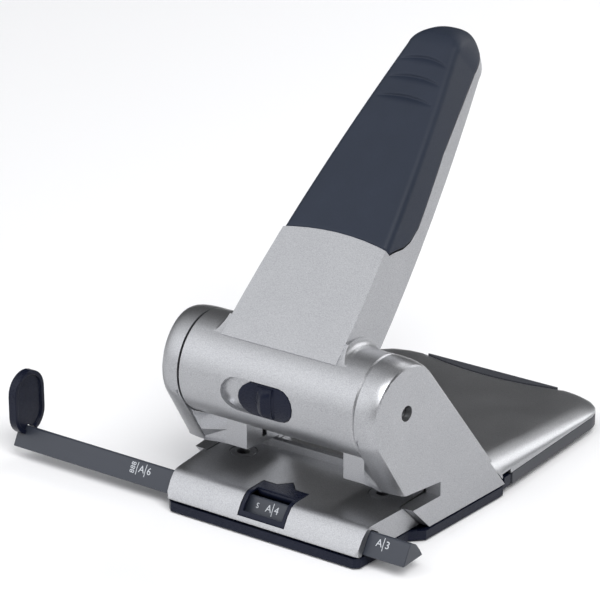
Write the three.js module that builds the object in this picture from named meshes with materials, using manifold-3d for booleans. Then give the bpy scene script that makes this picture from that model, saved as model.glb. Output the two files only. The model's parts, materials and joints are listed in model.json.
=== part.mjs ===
// Heavy-duty two-hole office punch, in millimetres.
// Frame: X runs along the lever's axle, +Y points to the back, +Z up.
// The origin lies on the standing surface, straight below the middle of the axle.

import * as THREE from 'three';
import { mergeVertices } from 'three/addons/utils/BufferGeometryUtils.js';
import Module from 'manifold-3d';

const wasm = await Module();
wasm.setup();

// ---------- driving dimensions ----------

// general fits
const fitGap = 0.3;              // clearance between two separate pieces
const runGap = 0.5;              // clearance beside a part that moves

// axle and lever barrel
const axleHeight = 70;
const axleRadius = 3.5;
const axleRecess = 3;            // the axle ends lie this deep in the cheeks
const barrelRadius = 24.8;
const barrelHalfLength = 49;
const barrelEdge = 0.8;          // chamfer on the barrel's end rims

// lever arm, measured along the arm from the axle and square to its front face
const leverTilt = 41.5;          // degrees above horizontal, at rest
const armLength = 192.5;
const armBack = 0.5;             // height of the arm's underside above the axle line
const armRootHalf = 32;
const armTipHalf = 14;
const armTipRound = 19;          // length of the rounded tip
const tipFallFront = 9;          // the tip draws back this much at the front face
const tipFallBack = 5;           // and this much at the underside
const tipCrest = 10;             // height above the axle line where the tip reaches furthest
const armSideFlare = 3;          // the sides widen by this much towards the underside
const armRootFillet = 4;
const gripStart = 64;
const gripThick = 3;
// the pad's edge on the arm's sides: distance along the arm, height above the axle line
const gripSideEdge = [
  [62, 22.5], [65.5, 20.3], [68.6, 17.6], [72.5, 13.6], [78.2, 10.3], [87.3, 8.2],
  [105, 8.6], [127, 9.3], [150, 7.6], [173, 5.3], [200, 3.2],
];
const gripBow = 4;               // rise of the pad's lower edge at the middle
const gripScrewPlaces = [95, 150];

// punches
const punchSpacing = 80;
const punchBehindAxle = 14.5;
const punchRadius = 2.9;
const punchStroke = 12;
const punchTipHeight = 27.6;
const punchHeadRadius = 5;
const punchHeadThick = 3;
const pinRadius = 1.5;
const pinHeight = 44;
const springRadius = 4.2;        // centre line of the coils
const springWire = 1.1;
const springTurns = 6;
const camRadius = 17.5;          // axle to the middle of the cam's nose
const camNose = 3;
const camWidth = 7;
const pocketHalfWidth = 6;
const pocketInner = 8.5;
const pocketFrom = -82.3;        // degrees, seen from the right end of the axle
const pocketTo = 41.2;

// guide bar section, with the table over it
const barFrontBottom = -24.2;
const barDepth = 16;
const barBottom = 6.7;
const barHeight = 9.8;
const barRoof = 2;               // metal left over the bar's channel
const tableHeight = barBottom + barHeight + runGap + barRoof;

// table and throat
const throatMouth = 28.6;        // height of the throat's roof at the front
const throatEnd = 26.3;          // height of the throat's roof at the paper stop
const paperMargin = 12;          // hole centre to paper edge
const tableThick = 3.5;

// deck
const deckFrontHeight = 24.3;
const deckRearHeight = 12.9;
const deckRear = 178.5;
const deckHalf = 68.5;
const deckRimHeight = 10;
const deckSideRound = 13;
const deckCorner = 18;
const deckWall = 3;
const scoopDepth = 6.6;          // finger scoop in the rear edge
const scoopHalf = 43;

// nose
const noseHalfFront = 54.3;
const noseHalfRear = 58.3;
const noseFront = -28.6;
const noseCorner = 2.4;
const metalBottom = 6.2;
const waistHalf = 54.7;          // half width of the base between the cheeks

// cheeks
const cheekInner = barrelHalfLength + runGap;
const cheekFace = 61.8;          // outer face beside the axle
const cheekSplay = 0.085;        // the outer face moves out this much per millimetre back
const cheekShoulder = 2.9;       // radial step of the rounded shoulder
const frontNormal = 213.5;       // degrees, direction that the leaning front edge faces
const rearNormal = 38;           // degrees, direction that the slanted rear edge faces
const blockInner = 27.5;
const blockStep = 39;
const blockRear = 36;
const plateFrontFoot = 18.5;
const plateFrontTop = 5.5;

// paper guide
const barLeft = -152;
const barRight = 76.8;
const stopHeight = 33;
const stopWidth = 22;
const stopThick = 4.5;
const stopFace = -146.5;         // inner face that the paper meets
const detentHalf = 18;           // half length of the leaf spring behind the bar
const detentThick = 0.8;
const springBack = -2.7;         // where the leaf's ends lean on their posts
const postRadius = 1.5;

// window
const windowHalf = 13;
const windowRear = -6.7;
const windowFront = -27.4;
const windowPointer = 5.6;       // length of the centre arrow
const windowFrame = 2;
const windowSill = 7.2;          // depth of the frame behind the opening
const windowThick = 2;

// lock slider
const lockSlotLeft = -24.5;
const lockSlotRight = 15.9;
const lockSlotHeight = 17;
const lockHeight = 68.6;
const lockTravel = 10;
const lockDepth = 2.4;
const lockRib = 1.3;
const lockRibHalf = 4.2;

// tray and flap
const trayBottom = 0.8;
const trayTop = 5.7;
const trayFloor = 2.6;
const trayWall = 2.6;
const trayRear = 76;
const matThick = 1.7;
const matHalf = 40;
const matFront = -22;
const matRear = 66;
const flapBottom = 3.6;
const flapTop = 9.6;
const flapFloor = 1.8;
const flapWall = 2.2;
const flapHingeY = 80;
const flapHingeZ = 6.6;
const hingeRodRadius = 1.3;
const flapEar = 46;              // middle of the tray's hinge ears, either side
const earHalf = 2;
const flapSlot = 4.6;            // depth of the ear slots behind the hinge
const knuckleGap = 0.6;          // between the flap and the tray's round ends beside the hinge
const knuckleRadius = flapSlot - knuckleGap;
const knuckleEnd = 68;
const rodOverhang = 0.6;         // the hinge rod stands this far out of the ears
const lipGap = 0.6;              // between the flap's lip and the deck's scoop
const flapSweep = 12;            // height that the flap's front edge needs when it opens

// fasteners
const screwRadius = 2;
const screwHeadRadius = 3.6;
const screwHeadThick = 2.4;

// ---------- colours ----------

const silver = { color: 0xb4b6ba, roughness: 0.42, metalness: 0.75 };
const navy = { color: 0x1b1f33, roughness: 0.3, metalness: 0 };
const gripBlue = { color: 0x333b4a, roughness: 0.62, metalness: 0 };
const barGrey = { color: 0x4a4e58, roughness: 0.5, metalness: 0 };
const steel = { color: 0x9a9ca0, roughness: 0.3, metalness: 1 };
const zinc = { color: 0xa9abad, roughness: 0.4, metalness: 0.9 };
const flapGrey = { color: 0x3b3d44, roughness: 0.5, metalness: 0 };
const rubber = { color: 0x55575a, roughness: 0.85, metalness: 0 };

// ---------- helpers ----------

const toRadians = THREE.MathUtils.degToRad;
const punchX = punchSpacing / 2;
const far = 300;                 // long enough to cut right through the object

// The same surface with its shared corners joined.
function bare(geometry) {
  const plain = geometry.clone();
  plain.deleteAttribute('normal');
  plain.deleteAttribute('uv');
  return mergeVertices(plain, 1e-4);
}

function solid(geometry) {
  const merged = bare(geometry);
  const mesh = new wasm.Mesh({
    numProp: 3,
    vertProperties: new Float32Array(merged.attributes.position.array),
    triVerts: new Uint32Array(merged.index.array),
  });
  return new wasm.Manifold(mesh);
}

function geometryOf(manifold) {
  const mesh = manifold.getMesh();
  const geometry = new THREE.BufferGeometry();
  geometry.setAttribute('position', new THREE.BufferAttribute(new Float32Array(mesh.vertProperties), 3));
  geometry.setIndex(new THREE.BufferAttribute(new Uint32Array(mesh.triVerts), 1));
  geometry.computeVertexNormals();
  return geometry;
}

function warp(geometry, place) {
  const position = geometry.attributes.position;
  for (let i = 0; i < position.count; i += 1) {
    const [x, y, z] = place(position.getX(i), position.getY(i), position.getZ(i));
    position.setXYZ(i, x, y, z);
  }
  return geometry;
}

function mirrored(geometry) {
  const copy = geometry.clone().scale(-1, 1, 1);
  const index = copy.index.array;
  for (let i = 0; i < index.length; i += 3) {
    const kept = index[i];
    index[i] = index[i + 1];
    index[i + 1] = kept;
  }
  copy.computeVertexNormals();
  return copy;
}

function block(x0, x1, y0, y1, z0, z1) {
  const geometry = new THREE.BoxGeometry(x1 - x0, y1 - y0, z1 - z0);
  return solid(geometry.translate((x0 + x1) / 2, (y0 + y1) / 2, (z0 + z1) / 2));
}

function shapeOf(points) {
  return new THREE.Shape(points.map(([u, v]) => new THREE.Vector2(u, v)));
}

// The outline is given as [y, z] points and is drawn out from x0 to x1.
function alongX(points, x0, x1, options = {}) {
  const geometry = new THREE.ExtrudeGeometry(shapeOf(points), { depth: x1 - x0, bevelEnabled: false, ...options });
  const turn = new THREE.Matrix4().makeBasis(
    new THREE.Vector3(0, 1, 0),
    new THREE.Vector3(0, 0, 1),
    new THREE.Vector3(1, 0, 0),
  );
  return geometry.applyMatrix4(turn).translate(x0, 0, 0);
}

// The outline is given as [x, y] points and is drawn out from z0 to z1.
function alongZ(points, z0, z1, options = {}) {
  const geometry = new THREE.ExtrudeGeometry(shapeOf(points), { depth: z1 - z0, bevelEnabled: false, ...options });
  return geometry.translate(0, 0, z0);
}

function rodX(radius, x0, x1, y, z, sides = 24) {
  const geometry = new THREE.CylinderGeometry(radius, radius, x1 - x0, sides);
  return solid(geometry.rotateZ(-Math.PI / 2).translate((x0 + x1) / 2, y, z));
}

function rodZ(radius, x, y, z0, z1, sides = 20) {
  const geometry = new THREE.CylinderGeometry(radius, radius, z1 - z0, sides);
  return solid(geometry.rotateX(Math.PI / 2).translate(x, y, (z0 + z1) / 2));
}

// Points on a circle, from one angle to another, both in degrees.
function arc(centreU, centreV, radius, from, to, steps) {
  const points = [];
  for (let i = 0; i <= steps; i += 1) {
    const angle = toRadians(from + (to - from) * i / steps);
    points.push([centreU + radius * Math.cos(angle), centreV + radius * Math.sin(angle)]);
  }
  return points;
}

// A closed outline moved outwards by a distance, for outlines that run anticlockwise.
function grow(points, distance) {
  const count = points.length;
  return points.map((point, i) => {
    const before = points[(i + count - 1) % count];
    const after = points[(i + 1) % count];
    const a = new THREE.Vector2(point[0] - before[0], point[1] - before[1]).normalize();
    const b = new THREE.Vector2(after[0] - point[0], after[1] - point[1]).normalize();
    const normal = new THREE.Vector2(a.y + b.y, -a.x - b.x).normalize();
    const stretch = distance / Math.max(0.35, normal.x * a.y - normal.y * a.x);
    return [point[0] + normal.x * stretch, point[1] + normal.y * stretch];
  });
}

// Where the line at a distance from the axle, facing an angle, passes a height.
function edgeAt(distance, facing, height) {
  const angle = toRadians(facing);
  return (distance - (height - axleHeight) * Math.sin(angle)) / Math.cos(angle);
}

const group = new THREE.Group();

function add(name, shape, look) {
  const geometry = shape.isBufferGeometry ? shape : geometryOf(shape);
  const mesh = new THREE.Mesh(geometry, new THREE.MeshStandardMaterial(look));
  mesh.name = name;
  group.add(mesh);
}

function addPair(name, shape, look) {
  const geometry = geometryOf(shape);
  add(`right_${name}`, geometry, look);
  add(`left_${name}`, mirrored(geometry), look);
}

// ---------- paper guide bar section ----------

const barSection = [
  [barFrontBottom, barBottom],
  [barFrontBottom + barDepth, barBottom],
  [barFrontBottom + barDepth * 0.86, barBottom + barHeight * 0.36],
  [barFrontBottom + barDepth * 0.67, barBottom + barHeight * 0.75],
  [barFrontBottom + barDepth * 0.41, barBottom + barHeight],
  [barFrontBottom + barDepth * 0.35, barBottom + barHeight * 0.97],
  [barFrontBottom + barDepth * 0.22, barBottom + barHeight * 0.66],
  [barFrontBottom + barDepth * 0.11, barBottom + barHeight * 0.33],
];

// ---------- base casting ----------

const paperStop = punchBehindAxle + paperMargin;
const deckSlope = (deckRearHeight - deckFrontHeight) / (deckRear - paperStop);
const deckTop = (y) => deckFrontHeight + deckSlope * (y - paperStop);

const noseSection = [
  [noseFront + 1.9, metalBottom],
  [paperStop + 6, metalBottom],
  [paperStop + 6, tableHeight],
  [-17.5, tableHeight],
  [-19.6, tableHeight - 0.3],
  [-21.6, tableHeight - 1.3],
  [-24.6, 14.6],
  [-27.1, 10.5],
  [noseFront + 0.1, 7.9],
  [noseFront, 7.1],
];

// Plan of the nose and waist; the same outline, drawn in, makes the hollow.
function nosePlan(inset) {
  const front = noseFront - 1 + inset;
  return [
    [-noseHalfFront + noseCorner + inset, front],
    [noseHalfFront - noseCorner - inset, front],
    [noseHalfFront - inset, front + noseCorner],
    [noseHalfRear - inset, plateFrontFoot + 2],
    [waistHalf + 1 - inset, plateFrontFoot + 2.5],
    [waistHalf + 1 - inset, paperStop + 5],
    [-waistHalf - 1 + inset, paperStop + 5],
    [-waistHalf - 1 + inset, plateFrontFoot + 2.5],
    [-noseHalfRear + inset, plateFrontFoot + 2],
    [-noseHalfFront + inset, front + noseCorner],
  ];
}

// Rounded deck: a flat box whose top is bent to an elliptical edge on both sides.
// u runs across, v up; the corner rounding in plan is put on the rear end.
function deckBody(inset, front, bottom) {
  const half = deckHalf - inset;
  const rear = deckRear - inset;
  const corner = deckCorner - inset;
  const across = 28;
  const along = 20;
  const geometry = new THREE.BoxGeometry(2, 1, 1, across, along, 4);
  return warp(bare(geometry), (u, v, w) => {
    const share = v + 0.5;
    const y = front + (rear - front) * Math.sin(share * Math.PI / 2);
    const intoCorner = Math.max(0, y - (rear - corner)) / corner;
    const width = half - corner * (1 - Math.sqrt(Math.max(0, 1 - intoCorner * intoCorner)));
    const angle = Math.sin(u * Math.PI / 2);
    const x = width * angle;
    const scoop = scoopDepth * Math.max(0, 1 - (x / scoopHalf) ** 2);
    const nearRear = Math.max(0, (y - (rear - 40)) / 40) ** 2;
    const rim = Math.max(0, Math.abs(x) - (width - deckSideRound)) / deckSideRound;
    const rearRim = Math.max(0, y - (rear - 6)) / 6;
    const fall = Math.sqrt(Math.max(0, 1 - Math.min(1, rim * rim + 0.55 * rearRim * rearRim)));
    const top = deckTop(y) - inset;
    const upper = deckRimHeight + 0.4 + (top - deckRimHeight - 0.4) * fall;
    const z = w > 0.49 ? upper : bottom + (upper - bottom) * (w + 0.5);
    return [x, y - scoop * nearRear, z];
  });
}

const faceRadius = barrelRadius - cheekShoulder;
const plateOutline = [
  [plateFrontFoot + 2, metalBottom - 2],
  [edgeAt(faceRadius, rearNormal, metalBottom - 2), metalBottom - 2],
  ...arc(0, axleHeight, faceRadius, rearNormal, frontNormal, 22),
  [edgeAt(faceRadius, frontNormal, throatMouth), throatMouth],
  [plateFrontTop, tableHeight + 0.2],
  [plateFrontFoot, metalBottom],
];

const podOutline = [
  [-2.4, throatEnd - 6],
  [edgeAt(barrelRadius, rearNormal, throatEnd - 6), throatEnd - 6],
  ...arc(0, axleHeight, barrelRadius, rearNormal, frontNormal, 26),
  [edgeAt(barrelRadius, frontNormal, throatMouth), throatMouth],
];

// The cheek's outer parts lean out towards the back.
const splayed = (x, y, z) => {
  const share = Math.max(0, x - cheekInner) / (cheekFace - cheekInner);
  return [x + cheekSplay * y * share, y, z];
};

// Pod around the axle's end, with its rounded shoulder.
function pod(gap) {
  const shoulderLength = cheekFace - cheekInner - 1.5;
  const rootLength = 12;
  return warp(alongX(grow(podOutline, gap), cheekInner - rootLength, cheekFace - shoulderLength, {
    bevelEnabled: true,
    bevelThickness: shoulderLength,
    bevelSize: cheekShoulder,
    bevelOffset: -cheekShoulder,
    bevelSegments: 5,
  }), splayed);
}

const throatSection = [
  [-far, tableHeight],
  [paperStop, tableHeight],
  [paperStop, throatEnd],
  [0, throatMouth],
  [-far, throatMouth + far * 0.09],
];

const windowPlan = [
  [-windowHalf, windowFront],
  [windowHalf, windowFront],
  [windowHalf, windowRear],
  [windowPointer * 0.9, windowRear],
  [0, windowRear + windowPointer],
  [-windowPointer * 0.9, windowRear],
  [-windowHalf, windowRear],
];

const noseHollow = [
  [noseFront + 3.9, metalBottom - 1],
  [paperStop + 20, metalBottom - 1],
  [paperStop + 20, tableHeight - tableThick],
  [-16.8, tableHeight - tableThick],
  [-19.6, tableHeight - 3.9],
  [-22.6, 12.6],
  [-24.9, 9.4],
];

const dieRadius = 5.4;
const dieFlange = 6.6;
const screwSpots = [[33, 31], [46, 31]];
const traySpot = [48, 60];

function baseCasting() {
  const nosePrism = solid(alongX(noseSection, -far, far));
  let body = nosePrism.intersect(solid(alongZ(nosePlan(0), metalBottom - 1, tableHeight + 1)));
  const neckHalf = waistHalf + 1;
  body = body.add(block(-neckHalf, neckHalf, paperStop, trayRear, metalBottom, deckRimHeight + 4));
  body = body.add(solid(deckBody(0, paperStop, deckRimHeight)));
  const stepEdge = alongX([
    [paperStop - 1, deckFrontHeight - 2.2],
    [paperStop + 2.2, deckFrontHeight + 1],
    [paperStop - 1, deckFrontHeight + 1],
  ], -far, far);
  body = body.subtract(solid(stepEdge));

  // hollow underside
  const noseRoom = solid(alongX(noseHollow, -far, far));
  body = body.subtract(noseRoom.intersect(solid(alongZ(nosePlan(4), -1, tableHeight))));
  const neckRoom = alongX([
    [paperStop - 8, -1],
    [flapHingeY + 4, -1],
    [flapHingeY + 4, deckTop(flapHingeY + 4) - deckWall * 1.4],
    [paperStop + 6, deckFrontHeight - deckWall * 1.4],
    [paperStop - 2, tableHeight - tableThick],
    [paperStop - 8, tableHeight - tableThick],
  ], -waistHalf + 4, waistHalf - 4);
  body = body.subtract(solid(neckRoom));
  body = body.subtract(solid(deckBody(deckWall, edgeAt(barrelRadius, rearNormal, 20) + 8, deckRimHeight - 4)));

  // seats for the two cheek plates
  let seat = solid(alongX(grow(plateOutline, fitGap), waistHalf, far));
  seat = seat.add(solid(pod(fitGap)).intersect(block(waistHalf, far, -far, far, 0, far)));
  body = body.subtract(seat).subtract(solid(mirrored(geometryOf(seat))));
  body = body.subtract(block(-far, far, trayRear - runGap, flapHingeY + 3, 0, flapSweep));

  // bosses for the screws
  for (const side of [-1, 1]) {
    for (const [x, y] of screwSpots) {
      body = body.add(rodZ(screwHeadRadius + 1.2, side * x, y, 13, deckFrontHeight - 1));
      body = body.subtract(rodZ(screwRadius + fitGap, side * x, y, 10, far));
    }
    body = body.add(rodZ(4.2, side * traySpot[0], traySpot[1], trayTop, deckTop(traySpot[1]) - 1));
    body = body.subtract(rodZ(screwRadius + fitGap, side * traySpot[0], traySpot[1], 0, 15));
    body = body.subtract(rodZ(dieRadius + fitGap, side * punchX, punchBehindAxle, 0, far));
    body = body.subtract(rodZ(dieFlange + fitGap, side * punchX, punchBehindAxle, tableHeight - 1.5, far));
  }

  // posts that the detent spring leans on
  for (const side of [-1, 1]) {
    const y = springBack + detentThick / 2 + fitGap + postRadius;
    body = body.add(rodZ(postRadius, side * (detentHalf - 2), y, barBottom + 1, tableHeight - 1));
  }

  // channel of the guide bar through both end walls, and the window over it
  body = body.subtract(solid(alongX(grow(barSection, runGap), -far, far)));
  body = body.subtract(solid(alongZ(grow(windowPlan, fitGap), 0, far)));
  return body;
}

add('base_casting', baseCasting(), silver);

// ---------- cheeks with their punch guides ----------

function cheek() {
  let body = solid(pod(0)).subtract(block(-far, cheekInner, -far, far, -far, far));
  const plate = alongX(plateOutline, waistHalf + fitGap, cheekFace);
  body = body.add(solid(warp(plate, splayed)));
  body = body.subtract(block(-far, far, -far, far, -far, metalBottom));

  // guide block: its front face leans out to meet the cheek's front edge
  const steps = 8;
  const blockTop = axleHeight - 8;
  const plan = [
    [blockInner, 0],
    [blockStep, 0],
    [cheekInner + 1, 0],
    [cheekInner + 1, blockRear],
    [blockInner, blockRear],
  ];
  const guide = warp(alongZ(plan, throatEnd - 6, blockTop, { steps }), (x, y, z) => {
    const reach = x > blockStep + 1 ? edgeAt(barrelRadius, frontNormal, Math.max(z, throatMouth)) : 0;
    return y < 1 ? [x, Math.max(reach, -barrelRadius), z] : [x, y, z];
  });
  body = body.add(solid(guide));
  body = body.subtract(rodX(barrelRadius + runGap, 0, cheekInner, 0, axleHeight, 64));

  // paper throat, deck and table clearances
  body = body.subtract(solid(alongX(throatSection, 0, far)));
  const below = [
    [-far, -far],
    [far, -far],
    [far, deckTop(far) + fitGap],
    [paperStop, deckFrontHeight + fitGap],
    [paperStop, tableHeight],
    [-far, tableHeight],
  ];
  body = body.subtract(solid(alongX(below, 0, waistHalf + fitGap)));

  // bores and the slot of the guide pin
  body = body.subtract(rodX(axleRadius + fitGap, cheekInner - 1, far, 0, axleHeight));
  body = body.subtract(rodZ(punchRadius + fitGap, punchX, punchBehindAxle, 0, far));
  const seatRadius = springRadius + springWire / 2 + fitGap + 0.3;
  const springSeat = pinHeight + pinRadius + 0.6;
  body = body.subtract(rodZ(seatRadius, punchX, punchBehindAxle, springSeat, far, 28));
  const slotHalf = pinRadius + fitGap;
  const slotFoot = pinHeight - punchStroke - slotHalf;
  const slotY = punchBehindAxle;
  body = body.subtract(block(blockInner - 5, punchX, slotY - slotHalf, slotY + slotHalf, slotFoot, blockTop));
  for (const [x, y] of screwSpots) {
    body = body.subtract(rodZ(screwRadius + fitGap, x, y, 0, 34));
  }
  return body;
}

addPair('cheek', cheek(), silver);

// ---------- axle ----------

add('axle', rodX(axleRadius, -cheekFace + axleRecess, cheekFace - axleRecess, 0, axleHeight), steel);

// ---------- dies in the table ----------

function die() {
  const profile = [
    [punchRadius + 0.25, tableHeight - 9],
    [dieRadius, tableHeight - 9],
    [dieRadius, tableHeight - 1.2],
    [dieFlange, tableHeight - 1.2],
    [dieFlange, tableHeight - 0.1],
    [punchRadius + 0.25, tableHeight - 0.1],
    [punchRadius + 0.25, tableHeight - 9],
  ].map(([r, z]) => new THREE.Vector2(r, z));
  const geometry = new THREE.LatheGeometry(profile, 28).rotateX(Math.PI / 2);
  return solid(geometry.translate(punchX, punchBehindAxle, 0));
}

addPair('die', die(), steel);

// ---------- window bezel ----------

function windowBezel() {
  const skin = solid(alongX(noseSection, -far, far));
  const inner = noseSection.map(([y, z]) => [y + (z < tableHeight - 0.5 ? windowThick * 0.9 : 0), z - windowThick * 0.62]);
  let body = skin.subtract(solid(alongX(inner, -far, far)));
  body = body.intersect(solid(alongZ(windowPlan, metalBottom + 0.8, far)));
  const opening = [
    [-windowHalf + windowFrame, windowFront + 1.2],
    [windowHalf - windowFrame, windowFront + 1.2],
    [windowHalf - windowFrame, windowRear - windowSill],
    [-windowHalf + windowFrame, windowRear - windowSill],
  ];
  return body.subtract(solid(alongZ(opening, 0, far)));
}

add('window_bezel', windowBezel(), navy);

// ---------- lever ----------

const along = new THREE.Vector3(0, Math.cos(toRadians(leverTilt)), Math.sin(toRadians(leverTilt)));
const outward = new THREE.Vector3(0, -Math.sin(toRadians(leverTilt)), Math.cos(toRadians(leverTilt)));

// Puts a shape drawn as x across, y along the arm, z out of its front face in place.
function onArm(geometry) {
  const place = new THREE.Matrix4().makeBasis(new THREE.Vector3(1, 0, 0), along, outward);
  return geometry.applyMatrix4(place).translate(0, 0, axleHeight);
}

// Half width of the arm's front face at a distance along the arm.
function armHalf(s) {
  const share = THREE.MathUtils.clamp(s / (armLength - armTipRound), 0, 1);
  return armRootHalf + (armTipHalf - armRootHalf) * share ** 1.7;
}

function armPlan(from, inset) {
  const right = [];
  const straight = 9;
  const shoulder = armLength - armTipRound;
  for (let i = 0; i <= straight; i += 1) {
    const s = from + (shoulder - from) * i / straight;
    right.push([armHalf(s) - inset, s]);
  }
  const tip = 7;
  for (let i = 1; i < tip; i += 1) {
    const angle = i / tip * Math.PI / 2;
    const reach = armTipRound - inset;
    right.push([(armTipHalf - inset) * Math.cos(angle) ** 0.8, shoulder + reach * Math.sin(angle)]);
  }
  const left = right.map(([x, s]) => [-x, s]).reverse();
  return [...right, [0, armLength - inset], ...left];
}

// The arm's sides widen evenly from its front face to its underside, and its tip is rounded
// between the two faces.
function flared(geometry) {
  const shoulder = armLength - armTipRound;
  return warp(geometry, (x, s, n) => {
    const share = (barrelRadius - n) / (barrelRadius - armBack);
    const nearTip = THREE.MathUtils.clamp((s - shoulder) / armTipRound, 0, 1);
    const height = Math.max(n, armBack);
    const towardsFront = Math.max(0, height - tipCrest) / (barrelRadius - tipCrest);
    const towardsBack = Math.max(0, tipCrest - height) / (tipCrest - armBack);
    const fall = tipFallFront * towardsFront ** 2 + tipFallBack * towardsBack ** 2;
    return [x + Math.sign(x) * armSideFlare * share * Math.min(1, Math.abs(x) / 6), s - fall * nearTip, n];
  });
}

const armLayers = { steps: 10 };

// The space that the pad takes: its bowed lower edge in front, its curved edge on the sides.
function gripZone(gap) {
  const lower = [];
  const half = armRootHalf + 8;
  for (let i = 0; i <= 10; i += 1) {
    const x = -half + 2 * half * i / 10;
    lower.push([x, gripStart - gap + gripBow * (1 - (x / armRootHalf) ** 2)]);
  }
  const front = solid(onArm(alongZ([...lower, [half, far], [-half, far]], -far / 2, far / 2)));
  const edge = gripSideEdge.map(([s, n]) => [s - gap, n - gap]);
  const [first, last] = [edge[0], edge[edge.length - 1]];
  const side = solid(onArm(alongX([...edge, [far, last[1]], [far, far], [first[0], far]], -far, far)));
  return front.intersect(side);
}

function gripCore(gap) {
  const plan = armPlan(20, gripThick + gap);
  return solid(onArm(flared(alongZ(plan, armBack - 5, barrelRadius - gripThick - gap, armLayers))));
}

function camPocket(grown) {
  const points = [
    ...arc(0, axleHeight, pocketInner - grown, pocketTo, pocketFrom, 8),
    ...arc(0, axleHeight, barrelRadius + 8, pocketFrom, pocketTo, 4),
  ];
  return solid(alongX(points, punchX - pocketHalfWidth, punchX + pocketHalfWidth));
}

// A cut that follows the stadium from the front of the barrel inwards.
function stadiumPrism(left, right, height) {
  const radius = height / 2;
  const points = [
    ...arc(right - radius, lockHeight, radius, -90, 90, 8),
    ...arc(left + radius, lockHeight, radius, 90, 270, 8),
  ];
  const geometry = new THREE.ExtrudeGeometry(shapeOf(points), { depth: far, bevelEnabled: false });
  const turn = new THREE.Matrix4().makeBasis(
    new THREE.Vector3(1, 0, 0),
    new THREE.Vector3(0, 0, 1),
    new THREE.Vector3(0, -1, 0),
  );
  return solid(geometry.applyMatrix4(turn));
}

function leverCasting() {
  const rim = barrelRadius - barrelEdge;
  const end = barrelHalfLength;
  const profile = [[0, -end], [rim, -end], [barrelRadius, -end + barrelEdge], [barrelRadius, end - barrelEdge], [rim, end], [0, end]];
  const barrel = new THREE.LatheGeometry(profile.map(([r, x]) => new THREE.Vector2(r, x)), 72);
  let body = solid(barrel.rotateZ(-Math.PI / 2).translate(0, 0, axleHeight));

  // fillets between the arm's sides and the barrel
  const filletRing = [[barrelRadius - 2, -armRootHalf - armRootFillet]];
  for (let i = 0; i <= 5; i += 1) {
    const angle = i / 5 * Math.PI / 2;
    const x = armRootHalf + 1.2 + armRootFillet * (1 - Math.sin(angle));
    filletRing.push([barrelRadius + armRootFillet * (1 - Math.cos(angle)), -x]);
  }
  const side = filletRing.slice(1).map(([r, x]) => [r, -x]).reverse();
  const ringProfile = [...filletRing, ...side, [barrelRadius - 2, armRootHalf + armRootFillet], filletRing[0]];
  const ring = new THREE.LatheGeometry(ringProfile.map(([r, x]) => new THREE.Vector2(r, x)), 72);
  const fillet = solid(ring.rotateZ(-Math.PI / 2).translate(0, 0, axleHeight));
  const armZone = alongZ([[-60, -0.5], [60, -0.5], [60, 60], [-60, 60]], armBack + 1.5, barrelRadius - 0.4);
  body = body.add(fillet.intersect(solid(onArm(armZone))));

  const arm = solid(onArm(flared(alongZ(armPlan(4, 0), armBack, barrelRadius, armLayers))));
  body = body.add(arm.subtract(gripZone(fitGap).subtract(gripCore(fitGap))));

  // bore, cam pockets, lock recess and the pad's screw holes
  body = body.subtract(rodX(axleRadius + fitGap, -far, far, 0, axleHeight));
  const pocket = camPocket(0);
  body = body.subtract(pocket).subtract(solid(mirrored(geometryOf(pocket))));
  const recess = stadiumPrism(lockSlotLeft, lockSlotRight, lockSlotHeight);
  const keep = rodX(barrelRadius - lockDepth, -far, far, 0, axleHeight, 72);
  body = body.subtract(recess.subtract(keep));
  for (const s of gripScrewPlaces) {
    body = body.subtract(screwOnArm(s, screwRadius + fitGap, screwHeadRadius + fitGap, fitGap));
  }
  return body;
}

// A screw driven from the arm's underside into the pad.
function screwOnArm(s, shank, head, extra) {
  const top = barrelRadius - 1.2;
  const shaft = new THREE.CylinderGeometry(shank, shank, top - armBack, 16).rotateX(Math.PI / 2);
  const cap = new THREE.CylinderGeometry(head, head, screwHeadThick + 2 * extra, 16).rotateX(Math.PI / 2);
  const upper = solid(onArm(shaft.translate(0, s, (top + armBack) / 2 + extra / 2)));
  const lower = solid(onArm(cap.translate(0, s, armBack + screwHeadThick / 2)));
  return upper.add(lower);
}

add('lever_casting', leverCasting(), silver);

function gripPad() {
  const outer = solid(onArm(flared(alongZ(armPlan(20, 0), armBack, barrelRadius, armLayers))));
  let body = outer.intersect(gripZone(0)).subtract(gripCore(0));
  for (const s of gripScrewPlaces) {
    body = body.subtract(screwOnArm(s, screwRadius + fitGap, screwHeadRadius + fitGap, fitGap));
  }
  return body;
}

add('grip_pad', gripPad(), gripBlue);

gripScrewPlaces.forEach((s, i) => {
  add(`grip_screw_${i + 1}`, screwOnArm(s, screwRadius, screwHeadRadius, 0), zinc);
});

// ---------- drive cams in the barrel ----------

const noseRise = Math.asin(punchStroke / 2 / camRadius);

function driveCam() {
  const y = camRadius * Math.cos(noseRise);
  const z = axleHeight + camRadius * Math.sin(noseRise);
  const nose = arc(y, z, camNose, 200, 380, 8);
  const top = toRadians(pocketTo - 1.2);
  const outer = [(camRadius + 5.5) * Math.cos(top), axleHeight + (camRadius + 5.5) * Math.sin(top)];
  const inner = [(pocketInner + 2) * Math.cos(top), axleHeight + (pocketInner + 2) * Math.sin(top)];
  return solid(alongX([...nose, outer, inner], punchX - camWidth / 2, punchX + camWidth / 2));
}

addPair('drive_cam', driveCam(), steel);

// ---------- lock slider ----------

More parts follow.
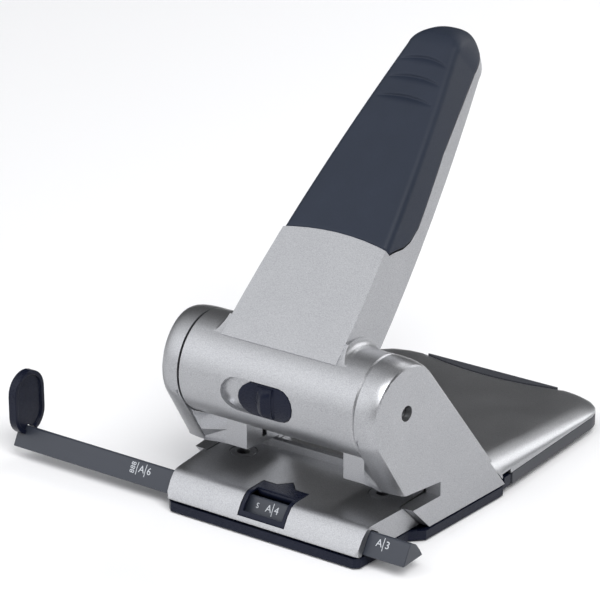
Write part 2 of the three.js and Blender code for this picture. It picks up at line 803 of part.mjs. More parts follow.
function lockSlider() {
  const left = lockSlotLeft + lockTravel + fitGap;
  const right = lockSlotRight - fitGap;
  const plan = stadiumPrism(left, right, lockSlotHeight - 2 * fitGap);
  const floor = rodX(barrelRadius - lockDepth + fitGap, -far, far, 0, axleHeight, 72);
  const skin = rodX(barrelRadius + 0.3, -far, far, 0, axleHeight, 72);
  const ribSkin = rodX(barrelRadius + lockRib, -far, far, 0, axleHeight, 72);
  const middle = (left + right) / 2;
  const ribHeight = lockSlotHeight / 2 - 1;
  const ribBlock = block(middle - lockRibHalf, middle + lockRibHalf, -far, 0, lockHeight - ribHeight, lockHeight + ribHeight);
  const rib = ribBlock.intersect(ribSkin);
  return plan.intersect(skin).add(rib).subtract(floor);
}

add('lock_slider', lockSlider(), navy);

// ---------- punches, pins and return springs ----------

const punchTop = axleHeight + camRadius * Math.sin(noseRise) - camNose - fitGap;

function punch() {
  let body = rodZ(punchRadius, punchX, punchBehindAxle, punchTipHeight, punchTop - 0.5, 24);
  body = body.add(rodZ(punchHeadRadius, punchX, punchBehindAxle, punchTop - punchHeadThick, punchTop, 24));
  body = body.subtract(rodX(punchRadius * 0.8, punchX - 20, punchX + 20, punchBehindAxle, punchTipHeight - 1.4, 20));
  return body.subtract(rodX(pinRadius + fitGap, 0, far, punchBehindAxle, pinHeight));
}

addPair('punch', punch(), steel);
addPair('punch_pin', rodX(pinRadius, blockInner + 1, punchX + punchRadius - 0.8, punchBehindAxle, pinHeight, 16), steel);

class Helix extends THREE.Curve {
  constructor(x, y, z0, z1, radius, turns) {
    super();
    Object.assign(this, { x, y, z0, z1, radius, turns });
  }

  getPoint(t, target = new THREE.Vector3()) {
    const angle = t * this.turns * Math.PI * 2;
    const height = this.z0 + (this.z1 - this.z0) * t;
    return target.set(this.x + this.radius * Math.cos(angle), this.y + this.radius * Math.sin(angle), height);
  }
}

function returnSpring() {
  const foot = pinHeight + pinRadius + 0.6 + fitGap + springWire / 2;
  const top = punchTop - punchHeadThick - fitGap - springWire / 2;
  const path = new Helix(punchX, punchBehindAxle, foot, top, springRadius, springTurns);
  const section = shapeOf(arc(0, 0, springWire / 2, 0, 300, 5));
  const geometry = new THREE.ExtrudeGeometry(section, { steps: springTurns * 12, extrudePath: path });
  return solid(geometry);
}

addPair('return_spring', returnSpring(), steel);

// ---------- paper guide bar and its stop ----------

add('guide_bar', alongX(barSection, barLeft, barRight), barGrey);

function paperStopPlate() {
  const radius = stopWidth / 2;
  const middle = barFrontBottom + barDepth / 2 - 0.4;
  const foot = barBottom + barHeight * 0.55;
  const outline = [
    ...arc(middle, foot + stopHeight - radius, radius, 0, 180, 14),
    ...arc(middle, foot + radius, radius, 180, 360, 14),
  ];
  const plate = alongX(outline, stopFace - stopThick, stopFace);
  const dish = alongX(grow([...outline].reverse(), 2.2).reverse(), stopFace - 1, stopFace + 5);
  return solid(plate).subtract(solid(dish)).subtract(solid(alongX(grow(barSection, fitGap), -far, far)));
}

add('paper_stop', paperStopPlate(), navy);

// ---------- detent spring of the guide bar ----------

function detentSpring() {
  const reach = springBack - (barFrontBottom + barDepth);
  const centreLine = (x) => springBack - reach * Math.cos(x / detentHalf * Math.PI / 2) ** 2;
  const front = [];
  const back = [];
  for (let i = 0; i <= 12; i += 1) {
    const x = -detentHalf + 2 * detentHalf * i / 12;
    front.push([x, centreLine(x) - detentThick / 2]);
    back.push([x, centreLine(x) + detentThick / 2]);
  }
  return solid(alongZ([...front, ...back.reverse()], barBottom + 1.2, barBottom + 6));
}

add('bar_detent_spring', detentSpring(), steel);

// ---------- base tray ----------

// Plan of the plastic tray: it follows the nose and then the foot of the cheeks.
function trayPlan(inset) {
  const cheekEdge = (y) => cheekFace + cheekSplay * y + 0.2 - inset;
  const side = [
    [noseHalfFront - noseCorner - inset, noseFront + 0.4 + inset],
    [noseHalfFront + 0.2 - inset, noseFront + 0.4 + noseCorner + inset],
    [noseHalfRear - 0.8 - inset, plateFrontTop + 4],
    [cheekEdge(plateFrontFoot), plateFrontFoot - 3],
    [cheekEdge(trayRear), trayRear],
  ];
  return [...side.map(([x, y]) => [-x, y]).reverse(), ...side];
}

const rodEnd = flapEar + earHalf + rodOverhang;

// Round end of the tray that fills the corner between a cheek's foot and the flap.
function knuckle(side) {
  const ends = [side * (flapEar + earHalf - 1), side * knuckleEnd].sort((a, b) => a - b);
  const footRear = edgeAt(faceRadius, rearNormal, metalBottom) + fitGap;
  const round = rodX(knuckleRadius, ...ends, flapHingeY, flapHingeZ, 32);
  const behindFoot = round.intersect(block(-far, far, footRear, far, flapBottom, flapHingeZ + 2.6));
  const shelf = block(...ends, trayRear - 3, flapHingeY, flapBottom, trayTop - fitGap);
  return behindFoot.add(shelf);
}

function baseTray() {
  const plan = trayPlan(0);
  let body = solid(alongZ(plan, trayBottom, trayTop - fitGap));
  const room = solid(alongZ(trayPlan(trayWall), trayBottom + trayFloor, far));
  const openRear = block(-deckHalf + 6, deckHalf - 6, trayRear - 20, far, trayBottom + trayFloor, far);
  body = body.subtract(room).subtract(openRear);
  body = body.subtract(block(-matHalf - fitGap, matHalf + fitGap, matFront - fitGap, matRear + fitGap, -1, matThick + fitGap));
  for (const side of [-1, 1]) {
    const [x, y] = [side * traySpot[0], traySpot[1]];
    body = body.add(rodZ(screwHeadRadius + 1.4, x, y, trayBottom, trayTop - fitGap));
    body = body.subtract(rodZ(screwRadius + fitGap, x, y, -1, far));
    body = body.subtract(rodZ(screwHeadRadius + fitGap, x, y, -1, trayBottom + screwHeadThick));
    const [from, to] = [side * flapEar - earHalf, side * flapEar + earHalf];
    body = body.add(block(from, to, trayRear - 3, flapHingeY + 2.8, flapBottom, flapHingeZ + 2.6));
  }
  const lip = block(-64, 64, trayRear - 3, trayRear, trayBottom, flapBottom + 0.5);
  body = body.add(lip);
  for (const side of [-1, 1]) {
    body = body.add(knuckle(side));
  }
  const bore = rodEnd + fitGap;
  return body.subtract(rodX(hingeRodRadius + fitGap, -bore, bore, flapHingeY, flapHingeZ, 16));
}

add('base_tray', baseTray(), navy);
add('rubber_mat', block(-matHalf, matHalf, matFront, matRear, 0, matThick), rubber);

// ---------- screws ----------

let screwNumber = 0;
for (const side of [-1, 1]) {
  for (const [x, y] of screwSpots) {
    screwNumber += 1;
    const shank = rodZ(screwRadius, side * x, y, 11.5, 33, 16);
    const head = rodZ(screwHeadRadius, side * x, y, 13 - fitGap - screwHeadThick, 13 - fitGap, 16);
    add(`cheek_screw_${screwNumber}`, shank.add(head), zinc);
  }
}

[-1, 1].forEach((side, i) => {
  const [x, y] = [side * traySpot[0], traySpot[1]];
  const shank = rodZ(screwRadius, x, y, trayBottom + 1, 14, 16);
  const head = rodZ(screwHeadRadius, x, y, trayBottom + fitGap, trayBottom + screwHeadThick - fitGap, 16);
  add(`tray_screw_${i + 1}`, shank.add(head), zinc);
});

// ---------- chip flap with its hinge rod ----------

function flapBody(inset, z0, z1, front) {
  const half = deckHalf - inset;
  const rear = deckRear - inset;
  const corner = deckCorner - inset;
  const points = [
    [-half, front],
    [half, front],
    ...arc(half - corner, rear - corner, corner, 0, 90, 8),
    ...arc(-half + corner, rear - corner, corner, 90, 180, 8),
  ];
  return solid(alongZ(points, z0, z1));
}

function chipFlap() {
  const front = trayRear + runGap;
  let body = flapBody(0, flapBottom, flapTop, front);
  body = body.subtract(flapBody(flapWall, flapBottom + flapFloor, far, flapHingeY + 7));
  body = body.subtract(block(-far, far, -far, flapHingeY + 4, flapHingeZ + 2.4, far));

  // finger lip in the deck's scoop
  const lip = [[scoopHalf - 4, deckRear], [-scoopHalf + 4, deckRear]];
  for (let i = 0; i <= 16; i += 1) {
    const x = (scoopHalf - 4) * (i / 8 - 1);
    lip.push([x, Math.min(deckRear - 0.4, deckRear - scoopDepth * (1 - (x / scoopHalf) ** 2) + lipGap)]);
  }
  body = body.add(solid(alongZ(lip, flapTop - 2, deckRearHeight)));
  const slotHalf = earHalf + runGap;
  for (const side of [-1, 1]) {
    const [from, to] = [side * flapEar - slotHalf, side * flapEar + slotHalf];
    body = body.subtract(block(from, to, -far, flapHingeY + flapSlot, -far, far));
    const outside = [side * (flapEar + slotHalf), side * far].sort((a, b) => a - b);
    body = body.subtract(block(...outside, -far, flapHingeY + flapSlot, -far, far));
  }
  return body.subtract(rodX(hingeRodRadius + fitGap, -far, far, flapHingeY, flapHingeZ, 16));
}

add('chip_flap', chipFlap(), flapGrey);
add('flap_hinge_rod', rodX(hingeRodRadius, -rodEnd, rodEnd, flapHingeY, flapHingeZ, 16), steel);

export default group;
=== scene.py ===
import json
import math

import bmesh
import bpy
import numpy as np
from mathutils import Matrix, Vector


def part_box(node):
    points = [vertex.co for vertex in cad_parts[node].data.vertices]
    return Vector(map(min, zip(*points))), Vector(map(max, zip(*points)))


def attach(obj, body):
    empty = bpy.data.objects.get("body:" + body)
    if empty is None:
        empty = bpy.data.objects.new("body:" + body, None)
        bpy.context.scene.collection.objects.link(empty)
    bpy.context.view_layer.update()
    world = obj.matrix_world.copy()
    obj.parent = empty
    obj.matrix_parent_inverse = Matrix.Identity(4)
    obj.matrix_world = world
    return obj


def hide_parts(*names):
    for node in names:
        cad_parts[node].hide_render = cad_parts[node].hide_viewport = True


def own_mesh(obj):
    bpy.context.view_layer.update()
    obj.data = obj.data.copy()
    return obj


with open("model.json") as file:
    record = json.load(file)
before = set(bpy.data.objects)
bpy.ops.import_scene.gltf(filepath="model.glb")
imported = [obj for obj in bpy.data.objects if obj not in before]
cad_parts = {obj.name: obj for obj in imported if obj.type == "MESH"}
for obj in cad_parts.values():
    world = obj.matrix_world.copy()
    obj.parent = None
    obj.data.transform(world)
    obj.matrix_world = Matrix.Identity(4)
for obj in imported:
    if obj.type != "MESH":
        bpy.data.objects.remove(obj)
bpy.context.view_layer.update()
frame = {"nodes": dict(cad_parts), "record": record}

# ---------- camera ----------
# A long lens on a tripod, over a metre in front of the punch, to its right and a little above it,
# tipped down so that the whole punch fills the frame.


def placed(name, data):
    """Adds an object to the scene for a camera, a lamp or a mesh."""
    thing = bpy.data.objects.new(name, data)
    bpy.context.scene.collection.objects.link(thing)
    return thing


long_lens = bpy.data.cameras.new("tripod_camera")
long_lens.lens = 172.7
long_lens.sensor_width = 36.0
long_lens.clip_end = 20.0
camera = placed("tripod_camera", long_lens)
camera.location = (0.6991, -0.9988, 0.6036)
camera.rotation_euler = (math.radians(68.0), 0.0, math.radians(34.87))
bpy.context.scene.camera = camera

# ---------- studio ----------
# A pale sheet of paper under the punch, a soft glow from the front left, and a dim room behind,
# which the level metal faces mirror as charcoal. Colours are shown plainly, as on a colour chart.


class Wire:
    """A shader socket that takes part in arithmetic: every operator adds one Math node."""

    def __init__(self, tree, socket):
        self.tree = tree
        self.socket = socket

    def math(self, operation, *terms):
        """Adds one Math node over sockets or plain numbers, and gives its result."""
        knot = self.tree.nodes.new("ShaderNodeMath")
        knot.operation = operation
        for place, term in zip(knot.inputs, terms):
            if isinstance(term, Wire):
                self.tree.links.new(term.socket, place)
            else:
                place.default_value = term
        return Wire(self.tree, knot.outputs[0])

    def __add__(self, other):
        return self.math("ADD", self, other)

    def __sub__(self, other):
        return self.math("SUBTRACT", self, other)

    def __rsub__(self, other):
        return self.math("SUBTRACT", other, self)

    def __mul__(self, other):
        return self.math("MULTIPLY", self, other)

    def power(self, exponent):
        return self.math("POWER", self, exponent)

    def clipped(self):
        bounded = self.math("MAXIMUM", self, 0.0)
        return self.math("MINIMUM", bounded, 1.0)

    __radd__ = __add__
    __rmul__ = __mul__


class Wiring:
    """A node tree, with the one method that adds a node to it."""

    def __init__(self, tree):
        self.tree = tree

    def node(self, kind, settings=None, pick=0, **inputs):
        """Adds a node: settings first, then values or links for its inputs, each given by name, or by
        number as in _6; gives the picked output."""
        made = self.tree.nodes.new(kind)
        for word, value in (settings or {}).items():
            setattr(made, word, value)
        for word, value in inputs.items():
            key = int(word[1:]) if word[1:].isdigit() else word.replace("_", " ")
            if isinstance(value, Wire):
                self.tree.links.new(value.socket, made.inputs[key])
            else:
                made.inputs[key].default_value = value
        return Wire(self.tree, made.outputs[pick])


class Finish(Wiring):
    """One material: a Principled shader with its constants, and the nodes that vary it."""

    def __init__(self, name, **constants):
        self.material = bpy.data.materials.new(name)
        self.material.use_nodes = True
        super().__init__(self.material.node_tree)
        self.shader = self.tree.nodes["Principled BSDF"]
        for word, value in constants.items():
            self.shader.inputs[word.replace("_", " ")].default_value = value
        self.place = self.node("ShaderNodeTexCoord", pick="Object")

    def noise(self, scale, detail=3.0, roughness=0.55, stretch=(1.0, 1.0, 1.0)):
        """Cloudy noise from 0 to 1; scale counts its lumps in a metre along each direction."""
        spot = self.node("ShaderNodeMapping", Vector=self.place, Scale=stretch)
        look = {"Scale": scale, "Detail": detail, "Roughness": roughness}
        return self.node("ShaderNodeTexNoise", Vector=spot, **look)

    def blend(self, share, first, second):
        """Mixes two colours by a share from 0 to 1."""
        colours = {"data_type": "RGBA"}
        return self.node("ShaderNodeMix", colours, pick=2, Factor=share, _6=first, _7=second)

    def feed(self, **links):
        """Links the shader's inputs, given by name."""
        for word, wire in links.items():
            self.tree.links.new(wire.socket, self.shader.inputs[word.replace("_", " ")])

    def bump(self, height, depth, strength):
        """Roughens the surface by a height from 0 to 1 that stands depth metres tall."""
        return self.node("ShaderNodeBump", Height=height, Distance=depth, Strength=strength)


paper = Finish("studio_paper", Base_Color=(0.90, 0.90, 0.91, 1.0), Roughness=0.75)
paper_fibre = paper.noise(900.0, 4.0)
paper.feed(Base_Color=paper.blend(paper_fibre, (0.89, 0.89, 0.90, 1.0), (0.92, 0.92, 0.93, 1.0)))

floor_reach = 6
floor_drop = 0.0002              # keeps the paper clear of the rubber mat
floor_corners = [(x * floor_reach, y * floor_reach, 0) for x, y in ((-1, -1), (1, -1), (1, 1), (-1, 1))]
floor_mesh = bpy.data.meshes.new("studio_floor")
floor_mesh.from_pydata(floor_corners, [], [(0, 1, 2, 3)])
floor_mesh.materials.append(paper.material)
studio_floor = placed("studio_floor", floor_mesh)
studio_floor.location = (0.0, 0.0, -floor_drop)

bpy.context.scene.view_settings.view_transform = "Standard"

room = bpy.data.worlds.new("dim_room")
room.use_nodes = True
bpy.context.scene.world = room
wall = Wiring(room.node_tree)
sky = wall.tree.nodes["Background"]
sky.inputs["Color"].default_value = (0.98, 0.985, 1.0, 1.0)
glow_from = (-0.45, -0.68, 0.58)
glow_narrowness = 2.6
glow_peak = 1.9
room_dimness = 0.03
direction = wall.node("ShaderNodeTexCoord", pick="Generated")
dot_product = {"operation": "DOT_PRODUCT"}
towards = wall.node("ShaderNodeVectorMath", dot_product, pick="Value", _0=direction, _1=glow_from)
glow = towards.clipped().power(glow_narrowness) * glow_peak + room_dimness
wall.tree.links.new(glow.socket, sky.inputs["Strength"])


def soft_panel(name, place, aim, width, height, power):
    """A rectangular area light of some metres and watts at place, turned to face aim."""
    light = bpy.data.lights.new(name, "AREA")
    light.shape = "RECTANGLE"
    light.size = width
    light.size_y = height
    light.energy = power
    holder = placed(name, light)
    holder.location = place
    holder.rotation_euler = (Vector(aim) - Vector(place)).to_track_quat("-Z", "Y").to_euler()


soft_panel("key_panel", (1.3, -1.0, 1.9), (0, 0, 0.05), 1.4, 1.4, 50.0)
soft_panel("rim_panel", (0.95, 1.9, 1.0), (0, 0.1, 0.05), 1.5, 1.3, 19.0)
soft_panel("band_panel", (-0.15, 1.8, 1.75), (0, 0.1, 0.05), 0.9, 0.6, 6.0)

# ---------- satin silver castings ----------
# Base, cheeks and lever are zinc castings with their edges broken, under one satin silver paint: a
# fine bright flake in a slightly uneven coat.

same_point = 0.000002            # points closer than this are one
flat_within = math.radians(0.6)  # faces that lean less than this are one flat
sharp_from = math.radians(28.0)  # edges that bend more than this are rounded


def softened(node, rounding, steps=2):
    """The CAD node's own surface, merged, its flats cleaned, its edges rounded by a bevel."""
    source = frame["nodes"][node]
    shell = bmesh.new()
    shell.from_mesh(source.data)
    bmesh.ops.remove_doubles(shell, verts=shell.verts, dist=same_point)
    bmesh.ops.dissolve_limit(shell, angle_limit=flat_within, verts=shell.verts, edges=shell.edges)
    mesh = bpy.data.meshes.new(f"{node}_skin")
    shell.to_mesh(mesh)
    shell.free()
    mesh.shade_smooth()
    piece = placed(f"{node}_skin", mesh)
    if rounding:
        bevel = piece.modifiers.new("rounded_edges", "BEVEL")
        bevel.width = rounding
        bevel.segments = steps
        bevel.limit_method = "ANGLE"
        bevel.angle_limit = sharp_from
        bevel.use_clamp_overlap = True
        bevel.harden_normals = True
        bevel.miter_outer = "MITER_ARC"
    flats = piece.modifiers.new("true_flats", "WEIGHTED_NORMAL")
    flats.mode = "FACE_AREA"
    flats.weight = 80
    flats.keep_sharp = True
    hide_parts(node)
    return piece


def dress(piece, finish, body):
    """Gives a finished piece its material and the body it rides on."""
    piece.data.materials.clear()
    piece.data.materials.append(finish.material)
    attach(piece, body)
    return piece


silver = Finish("satin_silver_paint", Metallic=0.96, Specular_IOR_Level=0.5)
silver_cloud = silver.noise(38.0, 4.0)
silver_flake = silver.noise(2300.0, 2.0, 0.5)
silver_tone = (silver_cloud * 0.30 + silver_flake * 1.5 - 0.4).clipped()
silver.feed(
    Base_Color=silver.blend(silver_tone, (0.27, 0.275, 0.29, 1.0), (0.50, 0.505, 0.52, 1.0)),
    Roughness=silver_cloud * 0.08 + silver_flake * 0.10 + 0.28,
    Normal=silver.bump(silver_flake, 0.00003, 0.5),
)

for part in ("base_casting", "right_cheek", "left_cheek"):
    dress(softened(part, 0.0006, 2), silver, "base")
dress(softened("lever_casting", 0.0010, 3), silver, "lever")

# ---------- grip pad ----------
# A soft matt plastic pad, moulded with a fine grain, rounded edges and three thumb grooves. It wraps
# the front and sides of the lever arm and is screwed on from below. Its sizes are in millimetres:
# x across the arm, s along it from the axle, n out of it.

joints = {joint["name"]: joint for joint in frame["record"]["behaviour"]["joints"]}
pad_axle = joints["lever_hinge"]["pos_m"][2] * 1000
pad_tilt = math.radians(41.5)    # the arm's lean from level, at rest
pad_front = 24.95                # height of its face above the axle line
pad_back = 0.5                   # height of the arm's underside
pad_tip = 192.6
pad_tip_length = 19.0
pad_start = 64.0
pad_half = 32.0                  # half width, were it to start at the axle
pad_narrowing = 18.0             # what it loses of that by the shoulder of the tip
pad_taper = 1.7                  # power of the loss along the arm
pad_flare = 3.0                  # what the underside is wider by on each side
flare_fade = 6.0                 # half width within which the flare fades
pad_bow = 4.0                    # how far the lower edge bows out in its middle
bow_fade = 30.0                  # length over which that bow fades
pad_round = 3.2                  # edge radius between face and sides
pad_wall = 2.4
tip_bluntness = 0.8              # power of the tip's cosine outline
tip_crest = 10.0                 # height at which the tip reaches furthest
tip_face_fall = 9.0              # how far the tip draws back towards its face
tip_face_span = 14.8             # height over which it does
tip_back_fall = 5.0              # how far the tip draws back towards the underside
tip_dome = 2.2                   # how far the face drops at the very tip
pad_edge_along = [62, 65.5, 68.6, 72.5, 78.2, 87.3, 105, 127, 150, 173, 200]
pad_edge_height = [22.5, 20.3, 17.6, 13.6, 10.3, 8.2, 8.6, 9.3, 7.6, 5.3, 3.2]
grooves = [(163.5, 166.9, 13.4), (153.0, 155.9, 14.5), (142.0, 144.6, 15.6)]
groove_depth = 1.4
groove_edge = 0.6                # how far below the face a groove may run into the rounded edge
groove_steep_run = 0.9
groove_gentle_run = 1.2          # at the groove's ends
groove_gentle_swell = 3.6        # what the gentle side gains in the middle
groove_fullness = 0.8            # power by which the depth runs out at the ends
groove_zone = 134.0              # rows lie close together from here to the shoulder
close_rows = 0.4


def groove_sink(x, s):
    """Depth of the thumb grooves: each follows a bowed line, given by s at its ends, s in its middle
    and its half length, cut steeply on the tip's side and rising gently on the other, and runs out
    to nothing at both ends."""
    sink = np.zeros_like(s)
    for ends, middle, half in grooves:
        bow = np.clip(1.0 - (x / half) ** 2, 0.0, 1.0)
        across = s - (ends + (middle - ends) * (1.0 - (x / half) ** 2))
        gentle = np.clip(1.0 + across / (groove_gentle_run + groove_gentle_swell * bow), 0.0, 1.0) ** 2
        ramp = np.clip(1.0 - across / groove_steep_run, 0.0, 1.0)
        steep = ramp ** 2 * (3 - 2 * ramp)
        sink += groove_depth * bow ** groove_fullness * np.where(across < 0.0, gentle, steep)
    return sink


def pad_surface():
    """The pad's outer face: rows run along the arm and wrap its rounded tip, columns run up the left
    side, over a quarter-round edge, across the face and down the right side. The half width falls
    by the narrowing times a power of the way to the shoulder, and the flare widens it towards the
    underside; the tip is a squashed quarter circle whose face and underside draw back by the square
    of their distance from its crest."""
    shoulder = pad_tip - pad_tip_length
    plain = np.linspace(pad_start, groove_zone, 44)
    grooved = np.arange(groove_zone + close_rows, shoulder - close_rows / 2, close_rows)
    straight = np.concatenate([plain, grooved])
    turn = np.linspace(0.0, 1.0, 30) ** 0.9 * np.pi / 2
    along = np.concatenate([straight, shoulder + pad_tip_length * np.sin(turn)])
    reach = pad_half - pad_narrowing * (np.minimum(along, shoulder) / shoulder) ** pad_taper
    around = np.concatenate([np.zeros(len(straight)), turn])
    half = reach * np.cos(around) ** tip_bluntness
    half[-1] = 0.0

    slope_half, slope_along = np.gradient(half), np.gradient(along)
    size = np.hypot(slope_half, slope_along)
    out_x, out_s = slope_along / size, -slope_half / size
    edge = np.interp(along, pad_edge_along, pad_edge_height)
    side = np.linspace(0.0, 1.0, 16)[:-1]
    corner = np.linspace(0.0, np.pi / 2, 9)
    face = np.linspace(-1.0, 1.0, 61)[1:-1]

    low = pad_front - pad_round
    climb = edge[:, None] + (low - edge[:, None]) * side
    crown = np.broadcast_to(low + pad_round * np.sin(corner), (len(along), len(corner)))
    strip_height = np.concatenate([climb, crown], 1)
    inset = np.concatenate([np.zeros(len(side)), pad_round * (1.0 - np.cos(corner))])
    wide = np.maximum(half[:, None] - inset * out_x[:, None], 0.0)
    reach_s = along[:, None] - inset * out_s[:, None]
    x = np.concatenate([-wide, face * wide[:, -1:], wide[:, ::-1]], 1)
    s = np.concatenate([reach_s, np.repeat(reach_s[:, -1:], len(face), 1), reach_s[:, ::-1]], 1)
    top = np.full((len(along), len(face)), pad_front)
    n = np.concatenate([strip_height, top, strip_height[:, ::-1]], 1)

    s += pad_bow * (1.0 - (x / pad_half) ** 2) * np.clip(1.0 - (s - pad_start) / bow_fade, 0.0, 1.0)
    flare = pad_flare * (pad_front - n) / (pad_front - pad_back)
    near_tip = np.clip((s - shoulder) / pad_tip_length, 0.0, 1.0)
    face_fall = tip_face_fall * (np.maximum(n - tip_crest, 0.0) / tip_face_span) ** 2
    back_fall = tip_back_fall * (np.maximum(tip_crest - n, 0.0) / (tip_crest - pad_back)) ** 2
    dome = tip_dome * near_tip ** 2 * np.clip((n - tip_crest) / (pad_front - tip_crest), 0.0, 1.0)
    x = x + np.sign(x) * flare * np.minimum(1.0, np.abs(x) / flare_fade)
    on_face = n > pad_front - groove_edge
    sunk = n - groove_sink(x, s) * on_face - dome
    s = s - (face_fall + back_fall) * near_tip
    y = s * math.cos(pad_tilt) - sunk * math.sin(pad_tilt)
    z = pad_axle + s * math.sin(pad_tilt) + sunk * math.cos(pad_tilt)
    return np.stack([x, y, z], -1) * 0.001


def sheet_mesh(name, grid, backed=False):
    """A mesh of quads over a grid of points, with doubled points joined, and its open back filled
    where it is backed."""
    rows, columns = grid.shape[:2]
    index = np.arange(rows * columns).reshape(rows, columns)
    corners = [index[:-1, :-1], index[:-1, 1:], index[1:, 1:], index[1:, :-1]]
    mesh = bpy.data.meshes.new(name)
    mesh.from_pydata(grid.reshape(-1, 3), [], np.stack(corners, -1).reshape(-1, 4))
    shell = bmesh.new()
    shell.from_mesh(mesh)
    bmesh.ops.remove_doubles(shell, verts=shell.verts, dist=same_point)
    bmesh.ops.dissolve_degenerate(shell, edges=shell.edges, dist=same_point / 2)
    if backed:
        bmesh.ops.holes_fill(shell, edges=[edge for edge in shell.edges if edge.is_boundary])
    shell.to_mesh(mesh)
    shell.free()
    mesh.shade_smooth()
    return mesh


grip_piece = placed("grip_pad_shell", sheet_mesh("grip_pad_shell", pad_surface()))
moulded_wall = grip_piece.modifiers.new("moulded_wall", "SOLIDIFY")
moulded_wall.thickness = pad_wall * 0.001
moulded_wall.offset = -1.0
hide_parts("grip_pad")

grip = Finish("grained_grip_plastic", Metallic=0.0, Specular_IOR_Level=0.27)
grip_cloud = grip.noise(60.0, 3.0)
grip_grain = grip.node("ShaderNodeTexVoronoi", Vector=grip.place, Scale=1500.0)
grip.feed(
    Base_Color=grip.blend(grip_cloud, (0.010, 0.015, 0.027, 1.0), (0.016, 0.022, 0.038, 1.0)),
    Roughness=grip_cloud * 0.10 + grip_grain * 0.10 + 0.42,
    Normal=grip.bump(grip_grain, 0.00005, 0.45),
)
dress(grip_piece, grip, "lever")

# ---------- smooth dark plastic ----------
# Slider, window bezel, paper stop and tray are injection moulded, with a smooth face that mirrors
# softly and shows faint flow clouds and hairline rubbing.

gloss = Finish("smooth_dark_plastic", Metallic=0.0, Specular_IOR_Level=0.17)
gloss_cloud = gloss.noise(90.0, 3.0)
gloss_rub = gloss.noise(700.0, 2.0, 0.6, (1.0, 6.0, 6.0))
gloss.feed(
    Base_Color=gloss.blend(gloss_cloud, (0.004, 0.006, 0.015, 1.0), (0.007, 0.009, 0.021, 1.0)),
    Roughness=gloss_cloud * 0.06 + gloss_rub * 0.10 + 0.20,
    Normal=gloss.bump(gloss_rub, 0.00001, 0.25),
)
dress(softened("lock_slider", 0.0005, 3), gloss, "lock")
dress(softened("window_bezel", 0.0003, 2), gloss, "base")
dress(softened("paper_stop", 0.0010, 3), gloss, "guide")
dress(softened("base_tray", 0.0005, 2), gloss, "base")

# ---------- slider knob ----------
# The thumb knob of the slider, moulded on it in the same dark plastic: two hollow flanks that meet
# in an upright ridge, which the thumb pushes from either side. Its sizes are in millimetres.

knob_half = 5.2
knob_tall = 7.6                  # half its height
knob_rise = 3.4
knob_hollow = 1.3                # power by which the flanks fall from the ridge
knob_end_width = 0.75            # share of the width left at the top and the bottom
knob_rim_sink = 0.5              # how far the rim sinks into the slider
knob_back = 1.0                  # how far its closed back lies behind the rim
knob_steps = 49
slider_low, slider_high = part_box("lock_slider")
knob_middle = (slider_low[0] + slider_high[0]) * 500
knob_height = (slider_low[2] + slider_high[2]) * 500
knob_seat = 24.9                 # its seat's radius about the axle, just under the slider's face


def knob_surface():
    """Height over the round seat: the ridge falls on both sides by a power of the distance and ends
    in round shoulders, the square root of one less the fourth power of the height."""
    across, up = np.meshgrid(np.linspace(-1, 1, knob_steps), np.linspace(-1, 1, knob_steps))
    flank = 1.0 - np.abs(across) ** knob_hollow
    shoulder = np.sqrt(np.maximum(0.0, 1.0 - up ** 4))
    rim = flank * shoulder < 1e-3
    rise = knob_rise * flank * shoulder - knob_rim_sink * rim
    x = knob_middle + knob_half * across * (knob_end_width + (1.0 - knob_end_width) * shoulder)
    z = knob_height + knob_tall * up
    y = -np.sqrt(knob_seat ** 2 - (z - pad_axle) ** 2) - rise
    return np.stack([x, y, z], -1) * 0.001


def closed_behind(grid, depth):
    """The surface's grid with its rim carried back by a depth, on all four sides."""
    behind = np.array([0.0, depth, 0.0])
    grid = np.concatenate([grid[:, :1] + behind, grid, grid[:, -1:] + behind], 1)
    return np.concatenate([grid[:1] + behind, grid, grid[-1:] + behind], 0)


knob_grid = closed_behind(knob_surface(), knob_back * 0.001)
knob_piece = placed("slider_knob", sheet_mesh("slider_knob", knob_grid, backed=True))
dress(knob_piece, gloss, "lock")

# ---------- window shade sheet -----
# A thin sheet of the same dark plastic as the window's frame reaches down behind the guide bar and
# hides the works: painted shade, standing in for the shade in the window behind the bar.

bezel_low, bezel_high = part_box("window_bezel")
bar_low, bar_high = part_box("guide_bar")
shade_sheet_inset = 0.0018            # clearance from the frame's ends
shade_sheet_thickness = 0.0003
shade_sheet_across = np.linspace(bezel_low[0] + shade_sheet_inset, bezel_high[0] - shade_sheet_inset, 12)
shade_sheet_back = np.array([-0.0057, -0.0054, -0.0042, -0.0027, -0.0020]) + bar_high[1]
shade_sheet_drop = np.array([0.0115, 0.0091, 0.0077, 0.0055, 0.0041]) + bar_low[2]
shade_sheet_x, shade_sheet_step = np.meshgrid(shade_sheet_across, np.arange(len(shade_sheet_back)))
shade_sheet_grid = np.stack([shade_sheet_x, shade_sheet_back[shade_sheet_step], shade_sheet_drop[shade_sheet_step]], -1)
# A dark sheet behind the bar: painted shade that keeps the window dark there.
shade_sheet_piece = placed("window_shade_sheet", sheet_mesh("window_shade_sheet", shade_sheet_grid))
shade_sheet_wall = shade_sheet_piece.modifiers.new("moulded_wall", "SOLIDIFY")
shade_sheet_wall.thickness = shade_sheet_thickness
dress(shade_sheet_piece, gloss, "base")

# ---------- paper guide bar ----------
# A grey plastic bar, extruded with fine die lines along it and cut to length. It slides through the
# channel in the base and carries the paper stop on its left end.

